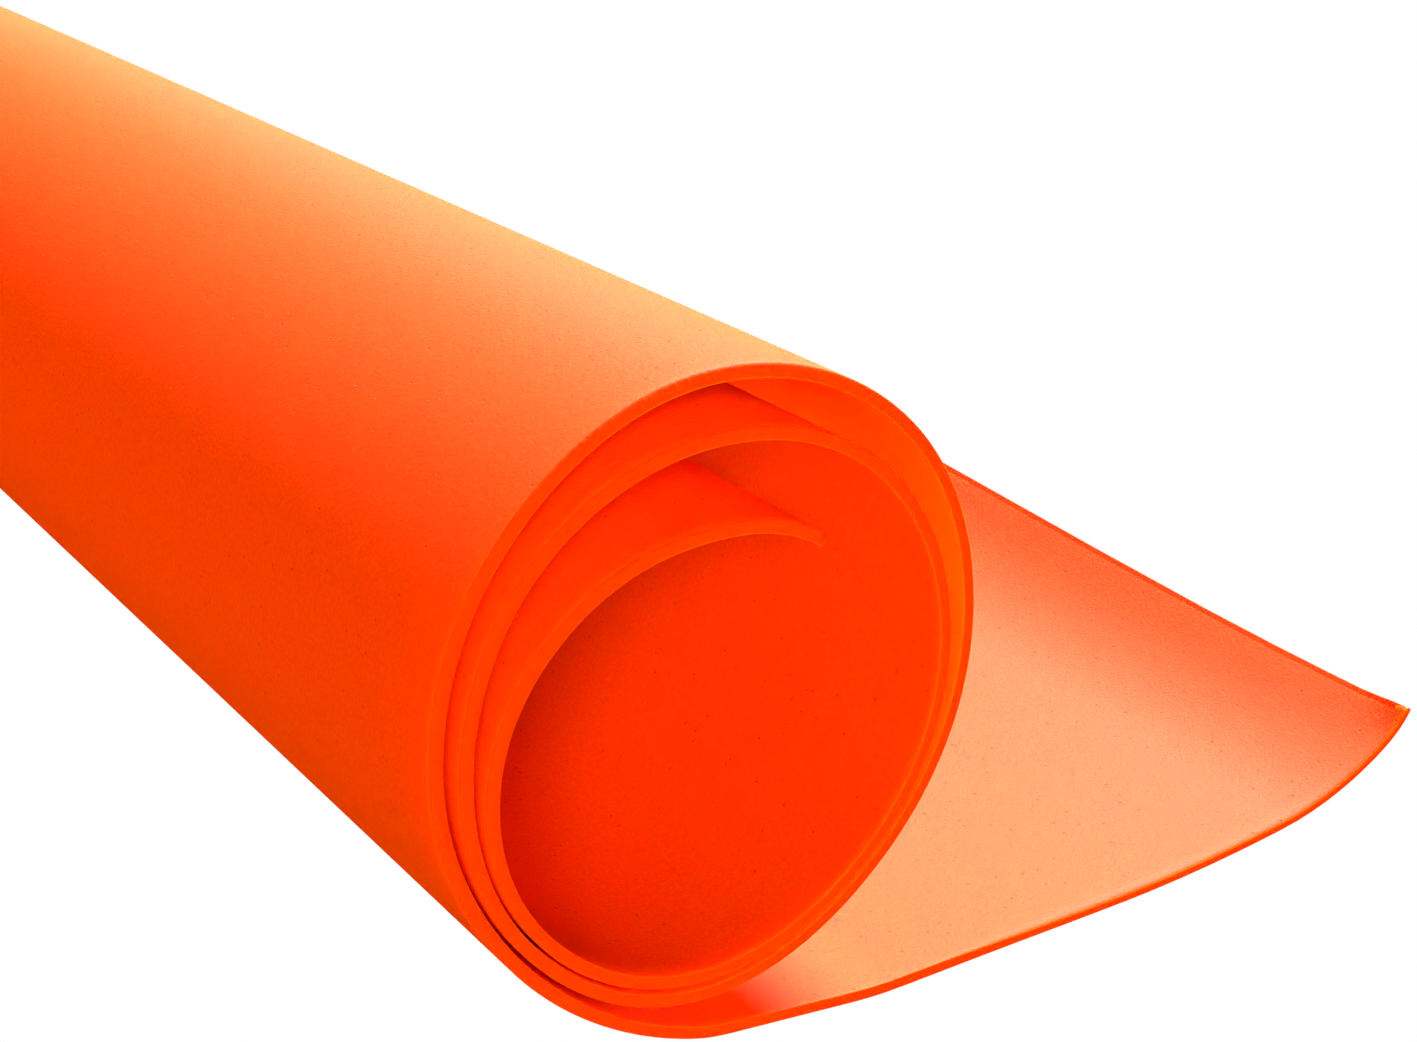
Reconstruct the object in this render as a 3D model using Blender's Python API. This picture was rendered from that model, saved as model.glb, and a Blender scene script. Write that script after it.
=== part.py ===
"""A sheet of craft foam, loosely rolled up, with its outer end lying out and curling up.

The roll lies along Y with its near end at low Y, and the loose end runs out towards +X. The
sheet is one piece of foam. Its section is walked from the inner tip outwards: round the turns
of the roll, down to the floor, and out along the loose end.
"""

import math

import bmesh
import bpy

MM = 0.001

# The sheet as it was cut
SHEET_WIDTH = 600 * MM
THICKNESS = 2.2 * MM

# The innermost turn: the face that looks at the middle of the roll is BORE_RADIUS away from it
# at most, and these shares of that at the inner tip and then every 45 degrees outwards
TIP_ANGLE = math.radians(52.6)
BORE_RADIUS = 46 * MM
BORE_SHAPE = (0.665, 0.585, 0.622, 0.745, 0.878, 0.993, 0.998, 0.991)

# Air between one turn and the next: the widest gap, and shares of it at the same angles, first
# round the innermost turn, then round the second one, up to where the sheet leaves the roll
INNER_GAP = 12.3 * MM
INNER_GAP_SHAPE = (0.96, 1, 0.707, 0.21, 0.041, 0.089, 0.041, 0.187)
OUTER_GAP = 7.5 * MM
OUTER_GAP_SHAPE = (0.747, 1, 0.613, 0.336, 0.093, 0.613)

# Where the sheet comes down from the roll and lands on the floor
ROLL_OFF_RADIUS = 64.6 * MM
HEEL_RADIUS = 12 * MM
HEEL_ANGLE = math.radians(10)
FOOT_LENGTH = 27.6 * MM

# The loose end after the foot: the length of each stretch, and how far it bends upwards.
# It lifts more along the middle of the roll than at its two corners, which droop, and the
# very tips of the corners curl up
LIFT_LENGTH = 9 * MM
LIFT_CORNER = math.radians(7)
LIFT_MIDDLE = math.radians(13)
DROOP_REACH = 260 * MM
SPRING_LENGTH = 49 * MM
RISE_LENGTH = 42 * MM
RISE_BEND = math.radians(6.5)
CURL_LENGTH = 29 * MM
CURL_BEND = math.radians(28)
LIP_LENGTH = 7 * MM
LIP_CORNER = math.radians(26)
LIP_MIDDLE = math.radians(1)
LIP_REACH = 12 * MM

# How finely the faces follow the curves
KNOT_STEP = math.radians(45)
TURN_STEP = math.radians(5)
BEND_STEP = math.radians(3)
DROOP_SPANS = 8
LIP_SPANS = 3

FOAM_ORANGE = (1.0, 0.072, 0.003, 1.0)
FOAM_ROUGHNESS = 0.6


def knot_radii():
    """Distance of the inner face from the middle at each knot, with each turn lying on the last."""
    radii = [BORE_RADIUS * share for share in BORE_SHAPE]
    gaps = [INNER_GAP * share for share in INNER_GAP_SHAPE]
    gaps += [OUTER_GAP * share for share in OUTER_GAP_SHAPE]
    for gap in gaps:
        radii.append(radii[-len(BORE_SHAPE)] + THICKNESS + gap)
    return radii


def cubic(before, start, end, after, t):
    """Value and slope of a smooth curve between two knots, given their neighbours."""
    a = 2 * start
    b = end - before
    c = 2 * before - 5 * start + 4 * end - after
    d = 3 * start - before - 3 * end + after
    value = 0.5 * (a + b * t + c * t**2 + d * t**3)
    slope = 0.5 * (b + 2 * c * t + 3 * d * t**2)
    return value, slope


def spiral_stations():
    """Stations (x, z, heading) on the inner face, from the inner tip to where the roll ends."""
    radii = knot_radii()
    padded = [2 * radii[0] - radii[1]] + radii
    spans = len(radii) - 2
    steps = round(KNOT_STEP / TURN_STEP)
    stations = []
    for span in range(spans):
        for step in range(steps + (span == spans - 1)):
            t = step / steps
            radius, slope = cubic(*padded[span : span + 4], t)
            angle = TIP_ANGLE + (span + t) * KNOT_STEP
            heading = angle + math.pi / 2 - math.atan2(slope, radius * KNOT_STEP)
            stations.append((radius * math.cos(angle), radius * math.sin(angle), heading))
    return stations


def walk(start, length, bend, steps):
    """Stations along a stretch of the given length that bends evenly to the left."""
    x, z, heading = start
    half = bend / steps / 2
    chord = length / steps * (math.sin(half) / half if half else 1)
    stations = []
    for _ in range(steps):
        x += chord * math.cos(heading + half)
        z += chord * math.sin(heading + half)
        heading += 2 * half
        stations.append((x, z, heading))
    return stations


def roll_and_heel():
    """Stations of all that keeps one shape along the roll: its turns, and the bends below."""
    stations = spiral_stations()
    x, z, heading = stations[-1]
    heading = math.remainder(heading, math.tau)
    sweep = -HEEL_ANGLE - heading
    start = (x, z, heading)
    roll_off = walk(start, ROLL_OFF_RADIUS * sweep, sweep, math.ceil(sweep / BEND_STEP))
    heel_steps = math.ceil(HEEL_ANGLE / BEND_STEP)
    heel = walk(roll_off[-1], HEEL_RADIUS * HEEL_ANGLE, HEEL_ANGLE, heel_steps)
    return stations + roll_off + heel


def ease(share):
    """Goes smoothly from 0 to 1 as the share does, and stays at 1 beyond."""
    share = min(1, share)
    return share * share * (3 - 2 * share)


def loose_end(foot_end, y):
    """Stations of the loose end at y, from the end of the foot to the cut end of the sheet."""
    corner_distance = min(y, SHEET_WIDTH - y)
    middle = ease(corner_distance / DROOP_REACH)
    lift = LIFT_CORNER + middle * (LIFT_MIDDLE - LIFT_CORNER)
    flat = ease(corner_distance / LIP_REACH)
    lip = LIP_CORNER + flat * (LIP_MIDDLE - LIP_CORNER)
    stretches = (
        (LIFT_LENGTH, lift, LIFT_MIDDLE),
        (SPRING_LENGTH, 0, 0),
        (RISE_LENGTH, RISE_BEND, RISE_BEND),
        (CURL_LENGTH, CURL_BEND, CURL_BEND),
        (LIP_LENGTH, lip, LIP_CORNER),
    )
    stations = [foot_end]
    for length, bend, largest in stretches:
        steps = max(1, math.ceil(largest / BEND_STEP))
        stations += walk(stations[-1], length, bend, steps)
    return stations


def faces_of(stations):
    """Inner and outer points (x, z) of the section: the outer ones lie one thickness away."""
    inner = [(x, z) for x, z, _ in stations]
    outer = [
        (x + THICKNESS * math.sin(heading), z - THICKNESS * math.cos(heading))
        for x, z, heading in stations
    ]
    return inner, outer


def ring(mesh, points, y):
    return [mesh.verts.new((x, y, z)) for x, z in points]


def skin(mesh, first, second):
    """Quads between two rows of points."""
    for index in range(len(first) - 1):
        mesh.faces.new((first[index], first[index + 1], second[index + 1], second[index]))


def places_along():
    """Where along the roll the loose end is drawn: closely where its corners change shape."""
    near = [LIP_REACH * span / LIP_SPANS for span in range(LIP_SPANS)]
    droop = DROOP_REACH - LIP_REACH
    near += [LIP_REACH + droop * span / DROOP_SPANS for span in range(DROOP_SPANS + 1)]
    near = [y for y in near if y < SHEET_WIDTH / 2]
    return near + [SHEET_WIDTH - y for y in reversed(near)]


def foam_sheet_mesh():
    mesh = bmesh.new()
    roll = roll_and_heel()
    roll_inner, roll_outer = faces_of(roll)
    foot_end = (roll[-1][0] + FOOT_LENGTH, roll[-1][1], 0)

    near_inner = ring(mesh, roll_inner, 0)
    near_outer = ring(mesh, roll_outer, 0)
    back_inner = ring(mesh, roll_inner, SHEET_WIDTH)
    back_outer = ring(mesh, roll_outer, SHEET_WIDTH)
    skin(mesh, near_inner, back_inner)
    skin(mesh, back_outer, near_outer)
    mesh.faces.new((near_inner[0], back_inner[0], back_outer[0], near_outer[0]))

    inner_rows = []
    outer_rows = []
    for y in places_along():
        inner, outer = faces_of(loose_end(foot_end, y))
        inner_rows.append(ring(mesh, inner, y))
        outer_rows.append(ring(mesh, outer, y))
    for row in range(len(inner_rows) - 1):
        skin(mesh, inner_rows[row], inner_rows[row + 1])
        skin(mesh, outer_rows[row + 1], outer_rows[row])
        mesh.faces.new(
            (
                inner_rows[row][-1],
                outer_rows[row][-1],
                outer_rows[row + 1][-1],
                inner_rows[row + 1][-1],
            )
        )

    # The foot is one flat face above and one below, between the roll and the loose end
    mesh.faces.new([near_inner[-1]] + [row[0] for row in inner_rows] + [back_inner[-1]])
    mesh.faces.new([back_outer[-1]] + [row[0] for row in reversed(outer_rows)] + [near_outer[-1]])

    # The two cut edges, which show the turns of the roll
    skin(mesh, near_outer + outer_rows[0], near_inner + inner_rows[0])
    skin(mesh, back_inner + inner_rows[-1], back_outer + outer_rows[-1])
    return mesh


def stand_on_origin(mesh):
    """Moves the sheet so that the bottom middle of its box is at the origin."""
    middles = []
    for axis in (0, 1):
        values = [vert.co[axis] for vert in mesh.verts]
        middles.append((min(values) + max(values)) / 2)
    floor = min(vert.co.z for vert in mesh.verts)
    bmesh.ops.translate(mesh, verts=mesh.verts, vec=(-middles[0], -middles[1], -floor))


def foam_material():
    material = bpy.data.materials.new("craft_foam")
    material.use_nodes = True
    shader = material.node_tree.nodes["Principled BSDF"]
    shader.inputs["Base Color"].default_value = FOAM_ORANGE
    shader.inputs["Roughness"].default_value = FOAM_ROUGHNESS
    shader.inputs["Metallic"].default_value = 0.0
    return material


def main():
    for old in list(bpy.data.objects):
        bpy.data.objects.remove(old)

    shape = foam_sheet_mesh()
    stand_on_origin(shape)
    bmesh.ops.recalc_face_normals(shape, faces=shape.faces)
    mesh = bpy.data.meshes.new("foam_sheet")
    shape.to_mesh(mesh)
    shape.free()
    mesh.materials.append(foam_material())
    mesh.shade_smooth()
    mesh.set_sharp_from_angle(angle=math.radians(40))
    sheet = bpy.data.objects.new("foam_sheet", mesh)
    bpy.context.scene.collection.objects.link(sheet)


main()
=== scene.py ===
# %% [markdown]
# # A loosely rolled sheet of craft foam
#
# Craft foam is EVA, a soft closed-cell foam that is sliced into thin sheets and dyed right
# through. This one is 600 by 900 mm and about 2 mm thick. It was rolled up loosely and let go,
# so its turns stand a few millimetres apart and its outer end lies out and curls up.
#
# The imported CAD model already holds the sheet's place, size and turns, as a plain solid with
# flat facets. This script builds the surface that the eye sees around that fixed frame.

import math

import bpy
import numpy as np
from mathutils import Euler, Matrix, Vector, noise


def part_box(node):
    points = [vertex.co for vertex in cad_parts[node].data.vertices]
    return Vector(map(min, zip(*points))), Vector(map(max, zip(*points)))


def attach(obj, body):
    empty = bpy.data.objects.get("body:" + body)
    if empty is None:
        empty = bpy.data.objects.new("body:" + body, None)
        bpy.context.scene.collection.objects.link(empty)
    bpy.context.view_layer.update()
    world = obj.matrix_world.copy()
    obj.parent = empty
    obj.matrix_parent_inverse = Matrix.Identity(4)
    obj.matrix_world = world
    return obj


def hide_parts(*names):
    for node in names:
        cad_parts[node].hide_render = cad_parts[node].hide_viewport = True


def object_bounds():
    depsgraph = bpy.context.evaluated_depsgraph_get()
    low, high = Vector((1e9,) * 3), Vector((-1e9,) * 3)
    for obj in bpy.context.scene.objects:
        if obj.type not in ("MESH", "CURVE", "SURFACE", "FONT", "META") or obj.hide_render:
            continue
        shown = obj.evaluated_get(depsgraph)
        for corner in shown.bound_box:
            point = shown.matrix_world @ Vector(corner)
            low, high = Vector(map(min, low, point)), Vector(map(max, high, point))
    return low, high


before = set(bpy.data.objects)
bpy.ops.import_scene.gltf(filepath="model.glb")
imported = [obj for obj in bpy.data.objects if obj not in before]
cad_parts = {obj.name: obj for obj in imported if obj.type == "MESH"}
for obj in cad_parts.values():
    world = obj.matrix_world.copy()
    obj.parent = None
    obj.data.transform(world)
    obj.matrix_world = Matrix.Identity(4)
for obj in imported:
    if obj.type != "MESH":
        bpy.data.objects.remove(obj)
cad_low, cad_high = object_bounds()
print("CAD box in mm:", [round(1000 * (high - low), 1) for low, high in zip(cad_low, cad_high)])

# %% [markdown]
# ## The sheet as it was cut
#
# A sheet could be drawn as a thin solid and bent with modifiers, or simulated as cloth. Neither
# keeps the exact spiral of the CAD solid. So the sheet is described flat, by how far along it
# and how far across it a point lies, and one function puts each flat point in its rolled-up
# place. The sizes below are the same ones that the CAD source uses.

# %% Sizes of the sheet and of its roll
MM = 0.001
SHEET_WIDTH = 600 * MM
THICKNESS = 2.2 * MM

# The innermost turn, every 45 degrees from the inner tip outwards
KNOT_STEP = math.radians(45)
TIP_ANGLE = math.radians(52.6)
BORE_RADIUS = 46 * MM
BORE_SHAPE = (0.665, 0.585, 0.622, 0.745, 0.878, 0.993, 0.998, 0.991)

# The air between the turns, at the same angles
INNER_GAP = 12.3 * MM
INNER_GAP_SHAPE = (0.96, 1, 0.707, 0.21, 0.041, 0.089, 0.041, 0.187)
OUTER_GAP = 7.5 * MM
OUTER_GAP_SHAPE = (0.747, 1, 0.613, 0.336, 0.093, 0.613)

# %% [markdown]
# ## The turns of the roll
#
# The roll's section is a spiral. Its radius is known at a knot every 45 degrees: the innermost
# turn has its own loose shape, and each later turn lies one thickness and one gap further out.
# A Catmull-Rom curve through the knots gives every radius in between. It passes through its
# knots, and its slope gives the direction in which the foam runs, called heading here.


# %% Stations along the spiral
def knot_radii():
    """Distance of the sheet's inner face from the roll's middle at each knot."""
    radii = [BORE_RADIUS * share for share in BORE_SHAPE]
    gaps = [INNER_GAP * share for share in INNER_GAP_SHAPE]
    gaps += [OUTER_GAP * share for share in OUTER_GAP_SHAPE]
    for gap in gaps:
        radii.append(radii[-len(BORE_SHAPE)] + THICKNESS + gap)
    return radii


def cubic(before, start, end, after, t):
    """Value and slope of a Catmull-Rom curve between two knots."""
    a = 2 * start
    b = end - before
    c = 2 * before - 5 * start + 4 * end - after
    d = 3 * start - before - 3 * end + after
    return 0.5 * (a + b * t + c * t**2 + d * t**3), 0.5 * (b + 2 * c * t + 3 * d * t**2)


STEPS_PER_KNOT = 60


def spiral_stations():
    """Rows of x, z and heading on the inner face, from the inner tip to where the spiral ends."""
    radii = knot_radii()
    padded = [2 * radii[0] - radii[1]] + radii
    rows = []
    for span in range(len(radii) - 2):
        t = np.arange(STEPS_PER_KNOT) / STEPS_PER_KNOT
        radius, slope = cubic(*padded[span : span + 4], t)
        angle = TIP_ANGLE + (span + t) * KNOT_STEP
        heading = angle + math.pi / 2 - np.arctan2(slope, radius * KNOT_STEP)
        rows.append(np.column_stack((radius * np.cos(angle), radius * np.sin(angle), heading)))
    return np.vstack(rows)


spiral = spiral_stations()
turns = (spiral[-1, 2] - spiral[0, 2]) / math.tau
print(f"The spiral has {turns:.2f} turns and ends {1000 * math.hypot(*spiral[-1, :2]):.1f} mm out")

# %% [markdown]
# ## From the roll down to the floor, and out to the curling end
#
# Past the spiral the sheet swings down in one round bend, lands on a short flat foot and runs
# out. Foam that was rolled keeps some of its curl, so the free end rises again, and more along
# its middle than at its two corners. Each stretch is an arc or a straight line, so walking
# along it by equal steps is enough.

# %% Lengths and bends of the loose end
ROLL_OFF_RADIUS = 64.6 * MM
HEEL_RADIUS = 12 * MM
HEEL_ANGLE = math.radians(10)
FOOT_LENGTH = 27.6 * MM
LIFT_LENGTH = 9 * MM
LIFT_CORNER = math.radians(7)
LIFT_MIDDLE = math.radians(13)
DROOP_REACH = 260 * MM
SPRING_LENGTH = 49 * MM
RISE_LENGTH = 42 * MM
RISE_BEND = math.radians(6.5)
CURL_LENGTH = 29 * MM
CURL_BEND = math.radians(28)
LIP_LENGTH = 7 * MM
LIP_CORNER = math.radians(26)
LIP_MIDDLE = math.radians(1)
LIP_REACH = 12 * MM
WALK_STEP = 0.5 * MM


def walk(rows, length, bend):
    """The rows so far, and those of a further stretch that bends evenly to the left."""
    x, z, heading = rows[-1]
    steps = max(2, round(length / WALK_STEP))
    half = bend / steps / 2
    chord = length / steps * (math.sin(half) / half if half else 1)
    run = heading + half * (2 * np.arange(steps) + 1)
    stretch = (x + chord * np.cumsum(np.cos(run)), z + chord * np.cumsum(np.sin(run)), run + half)
    return np.vstack((rows, np.column_stack(stretch)))


def ease(share):
    """Goes smoothly from 0 to 1 as the share does, and stays at 1 beyond."""
    share = min(1, max(0, share))
    return share * share * (3 - 2 * share)


def section(across):
    """All stations of the section at a distance across the sheet from its near cut edge."""
    corner_distance = max(0, min(across, SHEET_WIDTH - across))
    lift = LIFT_CORNER + ease(corner_distance / DROOP_REACH) * (LIFT_MIDDLE - LIFT_CORNER)
    lip = LIP_CORNER + ease(corner_distance / LIP_REACH) * (LIP_MIDDLE - LIP_CORNER)
    rows = spiral.copy()
    rows[:, 2] -= math.tau * round(rows[-1, 2] / math.tau)
    sweep = -HEEL_ANGLE - rows[-1, 2]
    rows = walk(rows, ROLL_OFF_RADIUS * sweep, sweep)
    rows = walk(rows, HEEL_RADIUS * HEEL_ANGLE, HEEL_ANGLE)
    rows = walk(rows, FOOT_LENGTH, 0)
    rows = walk(rows, LIFT_LENGTH, lift)
    rows = walk(rows, SPRING_LENGTH, 0)
    rows = walk(rows, RISE_LENGTH, RISE_BEND)
    rows = walk(rows, CURL_LENGTH, CURL_BEND)
    return walk(rows, LIP_LENGTH, lip)


# %% [markdown]
# ## Softening the bends
#
# Where an arc meets a straight line the curvature jumps, and on a real sheet it can't: foam
# passes each bend on to its neighbourhood. A blur of the heading along the sheet does just
# that, and adding up the blurred headings gives the places again.

# %% A smooth section, spaced evenly along the sheet
EVEN_STEP = 0.5 * MM
BLUR_REACH = 5 * MM


def smooth_section(across):
    """Distance along the sheet, x, z and heading, evenly spaced and with softened bends."""
    rows = section(across)
    walked = np.concatenate(([0], np.cumsum(np.hypot(*np.diff(rows[:, :2], axis=0).T))))
    along = np.arange(0, walked[-1], EVEN_STEP)
    reach = round(BLUR_REACH / EVEN_STEP)
    kernel = np.hanning(2 * reach + 3)[1:-1]
    heading = np.interp(along, walked, rows[:, 2])
    before = heading[0] - (heading[1] - heading[0]) * np.arange(reach, 0, -1)
    after = heading[-1] + (heading[-1] - heading[-2]) * np.arange(1, reach + 1)
    heading = np.convolve(np.concatenate((before, heading, after)), kernel / kernel.sum(), "valid")
    middle = (heading[1:] + heading[:-1]) / 2
    x = rows[0, 0] + EVEN_STEP * np.concatenate(([0], np.cumsum(np.cos(middle))))
    z = rows[0, 1] + EVEN_STEP * np.concatenate(([0], np.cumsum(np.sin(middle))))
    return along, x, z, heading


# Lengths are measured on the inner face, which is a little shorter than the flat sheet
corner_along, corner_x, corner_z, corner_heading = smooth_section(0)
SHEET_LENGTH = corner_along[-1]
lowest = (corner_z - THICKNESS * np.cos(corner_heading)).min()
leftmost = (corner_x + THICKNESS * np.sin(corner_heading)).min()
middle_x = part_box("foam_sheet")[0].x - leftmost
print(f"The inner face is {1000 * SHEET_LENGTH:.0f} mm long")
print(f"The middle of the roll stands {-1000 * lowest:.1f} mm above the floor")

# %% [markdown]
# ## Putting a flat point in its rolled-up place
#
# A point of the flat sheet has three numbers: how far along, how far across, and how deep below
# the face that ends up inside the roll. The section gives the place and the heading, and the
# depth is measured square to the heading. A sheet that thin is never quite flat either, so the
# loose end gets slow waves of a few tenths of a millimetre.

# %% The rolled-up place of flat points
WAVE_HEIGHT = 0.35 * MM
WAVE_LENGTH = 70 * MM
WAVE_START = SHEET_LENGTH - SPRING_LENGTH - RISE_LENGTH - CURL_LENGTH - LIP_LENGTH
WAVE_FADE = 40 * MM


def wave(along, across):
    """How far the sheet lies off its smooth shape, which is nothing on the roll and the foot."""
    share = ease((along - WAVE_START) / WAVE_FADE)
    if share == 0:
        return 0.0
    return share * WAVE_HEIGHT * noise.noise(Vector((along, across, 0)) / WAVE_LENGTH)


def place(along, across, depth):
    """Rows of x, y, z for flat points that lie along one line across the sheet."""
    walked, x, z, heading = smooth_section(across)
    along = np.clip(along, 0, walked[-1])
    turn = np.interp(along, walked, heading)
    off = depth + np.array([wave(a, across) for a in along])
    return np.column_stack(
        (
            np.interp(along, walked, x) + off * np.sin(turn) + middle_x,
            np.full(len(along), cad_low.y + across),
            np.interp(along, walked, z) - off * np.cos(turn) - lowest,
        )
    )


# %% [markdown]
# ## The cut edges
#
# Craft foam is cut with a knife. The blade presses on the inner face before it goes through. On
# the loose end that face bows down to the side edges over two millimetres. On the roll, and at
# both ends of the sheet, the edge is nearly crisp. A Bevel modifier would round all of them
# alike. Here the edge is a short list of rings round the sheet instead: each has its depth in
# the foam and its inset from the cut, and the bow scales the inner ones.

# %% Rings round the edge
INNER_INSET = 2.2 * MM
INNER_DEPTH = 0.8 * MM
INNER_STEPS = 5
CRISP_SHARE = 0.2
OUTER_INSET = 0.4 * MM
OUTER_DEPTH = 0.3 * MM
OUTER_STEPS = 2


def rounding(inset, depth, steps):
    """Inset and depth of each ring of a quarter ellipse, from the face to the cut."""
    turns = [math.pi / 2 * step / steps for step in range(steps + 1)]
    return [(inset * (1 - math.sin(turn)), depth * (1 - math.cos(turn))) for turn in turns]


def bow(along):
    """The share of the inner rounding at each distance along the sheet."""
    eased = np.array([ease((distance - WAVE_START) / WAVE_FADE) for distance in along])
    return CRISP_SHARE + (1 - CRISP_SHARE) * eased


inner_rings = rounding(INNER_INSET, INNER_DEPTH, INNER_STEPS)
outer_rings = rounding(OUTER_INSET, OUTER_DEPTH, OUTER_STEPS)
rings = inner_rings + [(inset, THICKNESS - depth) for inset, depth in reversed(outer_rings)]
print(f"The cut edge is drawn with {len(rings)} rings")

# %% [markdown]
# ## A torn stretch
#
# Where the knife drags, the foam tears between its cells. The picture shows one such stretch,
# on the near edge over the top of the roll, where the edge wanders in and out by a few tenths
# of a millimetre. The other edges are nearly straight. Noise along the edge gives the wander,
# and the rings near the outer face follow it fully while those near the inner face don't.

# %% How far the edge wanders
TORN_MIDDLE = 570 * MM
TORN_REACH = 38 * MM
TORN_DEPTH = 0.4 * MM
CLEAN_DEPTH = 0.06 * MM
TEAR_LENGTH = 0.7 * MM
SLOW_TEARS = 4
SLOW_LAYER = 5
TORN_SHARPNESS = 4

# Each side of the sheet has its own row of the noise
TIP_SIDE = 1
END_SIDE = 2
NEAR_SIDE = 3
FAR_SIDE = 4


def tear(run, side, depth):
    """How far the torn edge stands back, at each distance along one side of the sheet."""
    spots = run / TEAR_LENGTH
    fine = [noise.noise(Vector((spot, side, 0))) for spot in spots]
    slow = [noise.noise(Vector((spot / SLOW_TEARS, side, SLOW_LAYER))) for spot in spots]
    return depth * (1 + np.array(fine) + np.array(slow) / 2) / 2


def near_tear(run):
    """The same on the near edge, which has the torn stretch."""
    share = np.exp(-(((run - TORN_MIDDLE) / TORN_REACH) ** TORN_SHARPNESS))
    return tear(run, NEAR_SIDE, CLEAN_DEPTH + (TORN_DEPTH - CLEAN_DEPTH) * share)


# %% [markdown]
# ## The surface as a grid
#
# The two faces are grids with the same number of lines, and the rings join their borders. Lines
# that follow each other along the sheet are under a millimetre apart, which keeps the spiral
# round, and closer still on the torn stretch. Across the sheet they stand close only near the
# cut edges, where the corners lift and curl.

# %% Grid lines
LINE_STEP = 0.9 * MM
TORN_STEP = 0.35 * MM
FIRST_LINE = 1.3 * MM
NEAR_EDGE = [d * MM for d in (2.8, 4.5, 7.5, 12, 20, 35, 55)]
ACROSS_STEP = 35 * MM


def lines_between(start, end, step):
    """Distances of evenly spaced lines from start to end, without the last one."""
    return np.linspace(start, end, round((end - start) / step), endpoint=False)


def lines_across_sheet():
    """Distances of the lines across the sheet from its near edge, without the two borders."""
    near = np.array(NEAR_EDGE)
    middle = lines_between(near[-1], SHEET_WIDTH - near[-1], ACROSS_STEP)
    return np.concatenate((near[:-1], middle, SHEET_WIDTH - near[::-1]))


def lines_along_sheet():
    """Distances of the lines along the sheet from its inner tip, without the two borders."""
    last = SHEET_LENGTH - FIRST_LINE
    torn = (TORN_MIDDLE - TORN_REACH, TORN_MIDDLE + TORN_REACH)
    before = lines_between(FIRST_LINE, torn[0], LINE_STEP)
    after = lines_between(torn[1], last, LINE_STEP)
    return np.concatenate((before, lines_between(*torn, TORN_STEP), after, [last]))


lines_along = lines_along_sheet()
lines_across = lines_across_sheet()
print(f"{len(lines_along)} lines along the sheet and {len(lines_across)} across it")


def with_borders(lines, length, inset):
    """The grid's lines, with a border line at each side."""
    return np.concatenate(([inset], lines, [length - inset]))


# %% [markdown]
# ## Building the mesh
#
# Faces are made from arrays of point numbers: a grid becomes quads by pairing each number with
# its right and upper neighbour, and so does each pair of rings. Along the outer end of the
# sheet the blade has broken the skin too, so the last column of each face and the rounding at
# that end count as cut.


# %% Points and faces of the sheet
def quads(numbers):
    """Quads between neighbouring rows and columns of a grid of point numbers."""
    corners = (numbers[:-1, :-1], numbers[:-1, 1:], numbers[1:, 1:], numbers[1:, :-1])
    return np.stack(corners, axis=-1).reshape(-1, 4)


def border(numbers):
    """The point numbers round the border of a grid, closed."""
    loop = (numbers[0, :-1], numbers[:-1, -1], numbers[-1, :0:-1], numbers[:0:-1, 0])
    loop = np.concatenate(loop)
    return np.append(loop, loop[0])


def sheet_surface():
    """Points, quads, and for each quad whether it lies on the cut."""
    points = []
    columns = len(lines_along) + 2
    rows = len(lines_across) + 2
    loops = []
    face_quads = []
    for ring, (inset, depth) in enumerate(rings):
        share = ease(depth / THICKNESS)
        inner = ring <= INNER_STEPS
        crisp = CRISP_SHARE if inner else 1
        along = with_borders(lines_along, SHEET_LENGTH, crisp * inset)
        across = with_borders(lines_across, SHEET_WIDTH, inset)
        on_face = ring in (0, len(rings) - 1)
        numbers = np.full((rows, columns), -1)
        tears = [share * tear(across, side, CLEAN_DEPTH) for side in (TIP_SIDE, END_SIDE)]
        for row in range(rows):
            shifted = along.copy()
            shifted[0] += tears[0][row]
            shifted[-1] -= tears[1][row]
            on_border = row in (0, rows - 1)
            keep = slice(None) if on_face or on_border else [0, -1]
            if on_border:
                bowed = bow(along) if inner else np.ones(len(along))
                made = place(shifted, across[row], depth * bowed)
                torn = near_tear(along) if row == 0 else tear(along, FAR_SIDE, CLEAN_DEPTH)
                inwards = share * torn - (1 - bowed) * inset
                made[:, 1] += inwards if row == 0 else -inwards
            else:
                made = place(shifted[keep], across[row], crisp * depth)
            numbers[row, keep] = np.arange(len(made)) + sum(map(len, points))
            points.append(made)
        loops.append(border(numbers))
        if on_face:
            face_quads.append(quads(numbers) if ring else quads(numbers)[:, ::-1])
    bowed_quads = quads(np.array(loops[: INNER_STEPS + 1]))
    cut_quads = quads(np.array(loops[INNER_STEPS:]))
    faces = np.vstack((*face_quads, bowed_quads, cut_quads))
    column = np.arange(len(face_quads[0])) % (columns - 1)
    round_place = np.arange(len(bowed_quads)) % (len(loops[0]) - 1)
    last_column = column == columns - 2
    end_rounding = (round_place >= columns - 1) & (round_place < columns + rows - 2)
    on_shaded_cut = np.concatenate((last_column, last_column, end_rounding, np.ones(len(cut_quads), bool)))
    return np.vstack(points), faces, on_shaded_cut


points, faces, on_shaded_cut = sheet_surface()
print(f"{len(points)} points and {2 * len(faces)} triangles")

# %% One object from the points and faces
mesh = bpy.data.meshes.new("foam_sheet_surface")
mesh.from_pydata(points.tolist(), [], faces.tolist())
mesh.validate()
mesh.update()
mesh.shade_smooth()
sheet = bpy.data.objects.new("foam_sheet_surface", mesh)
bpy.context.scene.collection.objects.link(sheet)

# %% [markdown]
# ## Colour and nodes
#
# Colours are written as the sRGB hex values that a picture shows. Blender's shaders work with
# linear light, so one function converts them, and one small function adds a node with its
# settings and its links.


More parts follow.
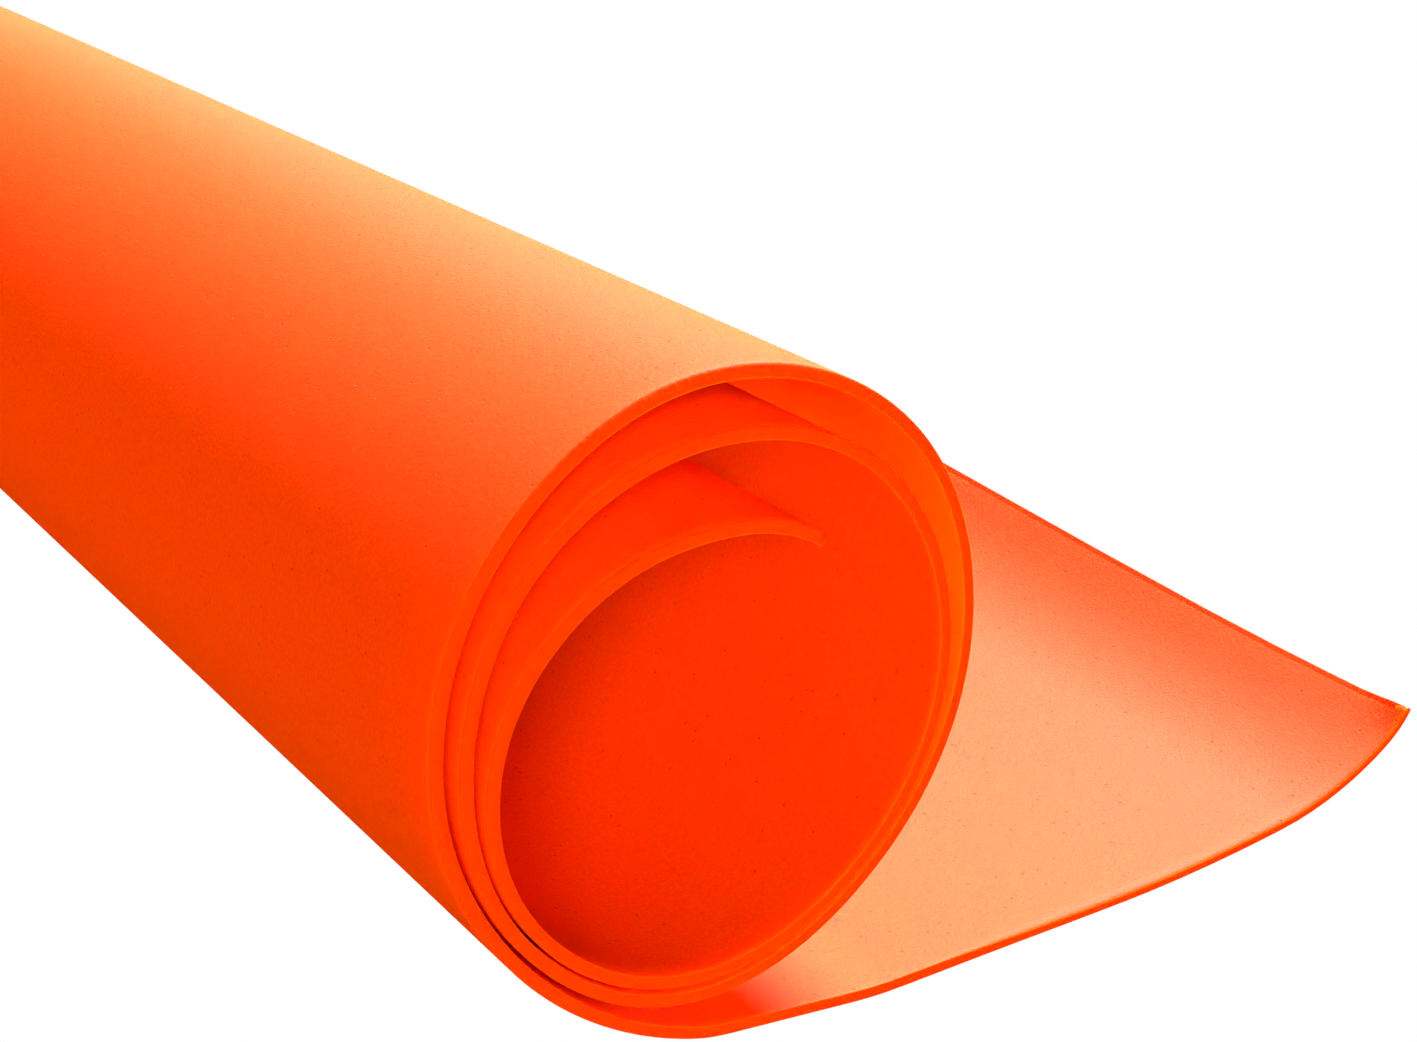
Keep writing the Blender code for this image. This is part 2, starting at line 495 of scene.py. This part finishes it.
# %% Helpers for materials
def linear(hex_value):
    """RGBA for a shader from an sRGB hex value."""
    channels = [int(hex_value[place : place + 2], 16) / 255 for place in (1, 3, 5)]
    light = [c / 12.92 if c <= 0.04045 else ((c + 0.055) / 1.055) ** 2.4 for c in channels]
    return (*light, 1.0)


def add_node(tree, kind, inputs=None, **settings):
    """A new node. An input is given a value, or linked where it is given another node's socket."""
    node = tree.nodes.new(kind)
    for name, value in settings.items():
        setattr(node, name, value)
    for name, value in (inputs or {}).items():
        if isinstance(value, bpy.types.NodeSocket):
            tree.links.new(value, node.inputs[name])
        else:
            node.inputs[name].default_value = value
    return node


# %% [markdown]
# ## Light inside the foam
#
# Light gets a few millimetres into EVA foam before it comes out again, on the other side too,
# and that keeps the inside of a roll glowing. A thin sheet of plain diffuse colour would leave
# it dark. So both foam materials scatter light under their surface. Cycles makes the reach of
# a dark channel short, and green is dark in this dye, so green is given the longest reach.

# %% A foam material with fine cells
FOAM_ROUGHNESS = 0.65
FOAM_IOR = 1.49
CELL_DETAIL = 2.0
CELL_ROUGHNESS = 0.6

# The noise stays near its middle, so this part of it is stretched to the full range
CELLS_FROM = 0.3
CELLS_TO = 0.7

# Places of a Mix node's sockets for colours, which share their names with others
MIX_SHARE = 0
MIX_FIRST = 6
MIX_SECOND = 7
MIX_COLOUR = 2


def foam_material(name, light, dark, reach, cell, gloss):
    """A new material that is mottled between two colours, with its tree, shader and noises."""
    material = bpy.data.materials.new(name)
    material.use_nodes = True
    tree = material.node_tree
    shader = tree.nodes["Principled BSDF"]
    shader.inputs["Roughness"].default_value = FOAM_ROUGHNESS
    shader.inputs["IOR"].default_value = FOAM_IOR
    shader.inputs["Specular IOR Level"].default_value = gloss
    shader.inputs["Subsurface Weight"].default_value = 1.0
    shader.inputs["Subsurface Radius"].default_value = reach
    shader.inputs["Subsurface Scale"].default_value = 1.0
    where = add_node(tree, "ShaderNodeTexCoord").outputs["Object"]
    cell_noise = {
        "Vector": where,
        "Scale": 1 / cell,
        "Detail": CELL_DETAIL,
        "Roughness": CELL_ROUGHNESS,
    }
    cells = add_node(tree, "ShaderNodeTexNoise", cell_noise).outputs["Fac"]
    stretched = {"Value": cells, "From Min": CELLS_FROM, "From Max": CELLS_TO}
    cells = add_node(tree, "ShaderNodeMapRange", stretched).outputs["Result"]
    colours = {MIX_SHARE: cells, MIX_FIRST: linear(dark), MIX_SECOND: linear(light)}
    mottling = add_node(tree, "ShaderNodeMix", colours, data_type="RGBA")
    return material, tree, shader, where, cells, mottling.outputs[MIX_COLOUR]


def add_bump(tree, height, distance, before=None):
    """The normal of a bump, on top of that of an earlier one if there is one."""
    inputs = {"Height": height, "Distance": distance, "Strength": 1.0}
    if before:
        inputs["Normal"] = before
    return add_node(tree, "ShaderNodeBump", inputs).outputs["Normal"]


# %% [markdown]
# ## Skin of the foam
#
# EVA craft foam is sliced from a block, so its face is a skin of cells that were cut and pressed
# flat: dull, with a faint sheen at a low angle and a fine grain like that of leather. The cells
# are 0.1 to 0.3 mm across, too fine for the picture, so they are drawn at 0.6 mm, as bumps and
# as a faint mottling. A few cells lie open as pits, and their darker orange is painted shade.
# So rough a surface keeps under a third of the shine of solid EVA, which would be 0.5 on the
# scale of this shader.

# %% Material of the two faces
SKIN_LIGHT = "#FC3800"
SKIN_DARK = "#EC3100"
SKIN_REACH = (8 * MM, 9 * MM, 0.5 * MM)
SKIN_GLOSS = 0.145
CELL = 0.6 * MM
CELL_BUMP = 0.05 * MM
# A darker orange for the open pits: painted shade
PORE_SHADE_ORANGE = "#C02000"
PORE_SPACING = 3 * MM
PORE_RADIUS = 0.3 * MM
PORE_BUMP = 0.2 * MM


def foam_skin():
    """The material of the two faces, with grain, and open pits with painted shade in them."""
    material, tree, shader, where, cells, mottled = foam_material(
        "eva_foam_skin", SKIN_LIGHT, SKIN_DARK, SKIN_REACH, CELL, SKIN_GLOSS
    )
    spots = add_node(tree, "ShaderNodeTexVoronoi", {"Vector": where, "Scale": 1 / PORE_SPACING})
    pore_edge = PORE_RADIUS / PORE_SPACING
    pore_range = {
        "Value": spots.outputs["Distance"],
        "From Min": pore_edge / 2,
        "From Max": pore_edge,
        "To Min": 1.0,
        "To Max": 0.0,
    }
    pore_pits_and_shade = add_node(tree, "ShaderNodeMapRange", pore_range).outputs["Result"]
    # The pits are given the darker orange as painted shade
    colours = {MIX_SHARE: pore_pits_and_shade, MIX_FIRST: mottled, MIX_SECOND: linear(PORE_SHADE_ORANGE)}
    colour = add_node(tree, "ShaderNodeMix", colours, data_type="RGBA")
    tree.links.new(colour.outputs[MIX_COLOUR], shader.inputs["Base Color"])
    grain = add_bump(tree, cells, CELL_BUMP)
    tree.links.new(add_bump(tree, pore_pits_and_shade, -PORE_BUMP, grain), shader.inputs["Normal"])
    return material


# %% [markdown]
# ## The bare cut
#
# The knife opens the cells instead of pressing them flat. A cut face swallows nearly all shine,
# so it looks a little deeper in colour than the skin. With the skin's shine it would turn pink
# under the strong light, because white on this orange looks pink. The foam is dyed right through,
# so the cut's darker orange is painted shade, which dims the cut faces under these lamps. It
# needs a material of its own, and each face of the mesh on the bare cut is given it.

# %% Material of the cut, with painted shade
# The cut's orange is darker than the skin's as painted shade
SHADED_CUT_LIGHT = "#F62900"
SHADED_CUT_DARK = "#E82500"
CUT_REACH = (4 * MM, 1 * MM, 0.2 * MM)
CUT_GLOSS = 0.03
CUT_CELL = 0.4 * MM
CUT_BUMP = 0.04 * MM


def shaded_foam_cut():
    """The material of the bare cut, with a shallow grain, hardly any shine and a darker orange as
    painted shade.
    """
    material, tree, shader, _, cells, mottled = foam_material(
        "eva_foam_cut_shaded", SHADED_CUT_LIGHT, SHADED_CUT_DARK, CUT_REACH, CUT_CELL, CUT_GLOSS
    )
    tree.links.new(mottled, shader.inputs["Base Color"])
    tree.links.new(add_bump(tree, cells, CUT_BUMP), shader.inputs["Normal"])
    return material


mesh.materials.append(foam_skin())
mesh.materials.append(shaded_foam_cut())
# Faces on the cut get the material whose darker orange is painted shade
mesh.polygons.foreach_set("material_index", on_shaded_cut.astype(int))
print(f"{int(on_shaded_cut.sum())} of {len(faces)} faces are bare cut")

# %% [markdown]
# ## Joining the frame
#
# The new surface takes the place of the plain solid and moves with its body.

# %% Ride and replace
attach(sheet, "root")
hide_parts("foam_sheet")

# %% [markdown]
# ## The floor
#
# A product picture on pure white has no horizon and no shadow: the white table is lit so
# strongly that the film shows nothing but white. A lit table and a high exposure would do the
# same, but would bleach the foam too. So the floor gives its own white light, which the foam
# neither reflects nor receives, and it takes no part in anything else.

# %% Floor
FLOOR_SIDE = 20.0
FLOOR_DROP = 0.1 * MM
WHITE = (1.0, 1.0, 1.0, 1.0)
BLACK = (0.0, 0.0, 0.0, 1.0)


def white_floor():
    """A surface that shines white by itself and reflects nothing."""
    material = bpy.data.materials.new("white_table")
    material.use_nodes = True
    shader = material.node_tree.nodes["Principled BSDF"]
    shader.inputs["Base Color"].default_value = BLACK
    shader.inputs["Specular IOR Level"].default_value = 0.0
    shader.inputs["Emission Color"].default_value = WHITE
    shader.inputs["Emission Strength"].default_value = 1.0
    return material


half = FLOOR_SIDE / 2
outline = ((-half, -half), (half, -half), (half, half), (-half, half))
corners = [(x, y, -FLOOR_DROP) for x, y in outline]
floor_mesh = bpy.data.meshes.new("floor")
floor_mesh.from_pydata(corners, [], [(0, 1, 2, 3)])
floor_mesh.materials.append(white_floor())
floor = bpy.data.objects.new("floor", floor_mesh)
floor.visible_diffuse = False
floor.visible_glossy = False
floor.visible_shadow = False
bpy.context.scene.collection.objects.link(floor)

# %% [markdown]
# ## The light
#
# The picture tells where the light stood. The roll's top and the loose end are so bright that
# they turn pale, and they fade to pure orange as the surface turns away to the left: one strong
# softbox stood high on the right and a little behind. The cut edges, the left side and even
# the inside of the roll are evenly lit with no gloss at all. Four weaker lights do that: a
# narrow fill beside the camera, which reaches deep into the roll, a broad softbox in front, and
# the white table, which throws light up from the front and from the left. A studio keeps such
# lights from showing as gloss with polarising filters. In Blender a lamp can be hidden from
# glossy reflections instead.
#
# A sun lamp with a wide angle is the simplest far softbox. Its energy is set so that white
# paper facing it would be as bright as the number given. The white world behind it all is only
# for the camera to see.

# %% World and softboxes
world = bpy.data.worlds.new("white_room")
bpy.context.scene.world = world
world.use_nodes = True
world.node_tree.nodes["Background"].inputs["Color"].default_value = WHITE
world.cycles_visibility.diffuse = False
world.cycles_visibility.glossy = False

KEY_SIDE = (0.45, 0.25, 0.86)
KEY_BRIGHTNESS = 7.5
KEY_ANGLE = 30
FILL_SIDE = (-0.55, -0.78, 0.31)
FILL_BRIGHTNESS = 0.95
FRONT_SIDE = (-0.2, -0.95, 0.2)
FRONT_BRIGHTNESS = 1.0
TABLE_SIDE = (-0.2, -0.88, -0.42)
TABLE_BRIGHTNESS = 0.9
LEFT_SIDE = (-0.85, -0.3, -0.3)
LEFT_BRIGHTNESS = 0.28
FILL_ANGLE = 12
BROAD_ANGLE = 60


def softbox(name, side, brightness, angle, polarised):
    """A far lamp on the given side, as wide as the angle. A polarised one makes no gloss."""
    light = bpy.data.lights.new(name, "SUN")
    light.energy = math.pi * brightness
    light.angle = math.radians(angle)
    lamp = bpy.data.objects.new(name, light)
    lamp.rotation_euler = Vector(side).to_track_quat("Z", "Y").to_euler()
    lamp.visible_glossy = not polarised
    light.cycles.use_multiple_importance_sampling = not polarised
    bpy.context.scene.collection.objects.link(lamp)


softbox("key_softbox", KEY_SIDE, KEY_BRIGHTNESS, KEY_ANGLE, polarised=False)
softbox("fill_softbox", FILL_SIDE, FILL_BRIGHTNESS, FILL_ANGLE, polarised=True)
softbox("front_softbox", FRONT_SIDE, FRONT_BRIGHTNESS, BROAD_ANGLE, polarised=True)
softbox("table_bounce", TABLE_SIDE, TABLE_BRIGHTNESS, BROAD_ANGLE, polarised=True)
softbox("left_bounce", LEFT_SIDE, LEFT_BRIGHTNESS, BROAD_ANGLE, polarised=True)
print("Key to fill:", round(KEY_BRIGHTNESS / FILL_BRIGHTNESS, 1), "to 1")

# %% [markdown]
# ## The camera
#
# The camera stands about a third of a metre from the near end of the roll, a little above it,
# and looks down along it. The view is tilted sideways by a few degrees, as in the picture. The
# lens is a short telephoto, and there is no depth of field.

# %% Camera
SENSOR_WIDTH = 36.0
FOCAL_LENGTH = 59.5
CAMERA_PLACE = Vector((-253.0, -565.4, 193.0)) * MM
LOOKS_DOWN = math.radians(21.7)
LOOKS_RIGHT = math.radians(33.36)
LEANS = math.radians(7)
NEAREST_SEEN = 10 * MM

camera_data = bpy.data.cameras.new("camera")
camera_data.lens = FOCAL_LENGTH
camera_data.sensor_width = SENSOR_WIDTH
camera_data.clip_start = NEAREST_SEEN
camera = bpy.data.objects.new("camera", camera_data)
level = Euler((math.pi / 2 - LOOKS_DOWN, 0, -LOOKS_RIGHT)).to_matrix().to_4x4()
leaning = Matrix.Rotation(-LEANS, 4, "Y") @ level
camera.matrix_world = Matrix.Translation(CAMERA_PLACE) @ leaning
bpy.context.scene.collection.objects.link(camera)
bpy.context.scene.camera = camera
bpy.context.scene.view_settings.view_transform = "Standard"
print(f"The camera stands {CAMERA_PLACE.length:.2f} m from the sheet's middle")
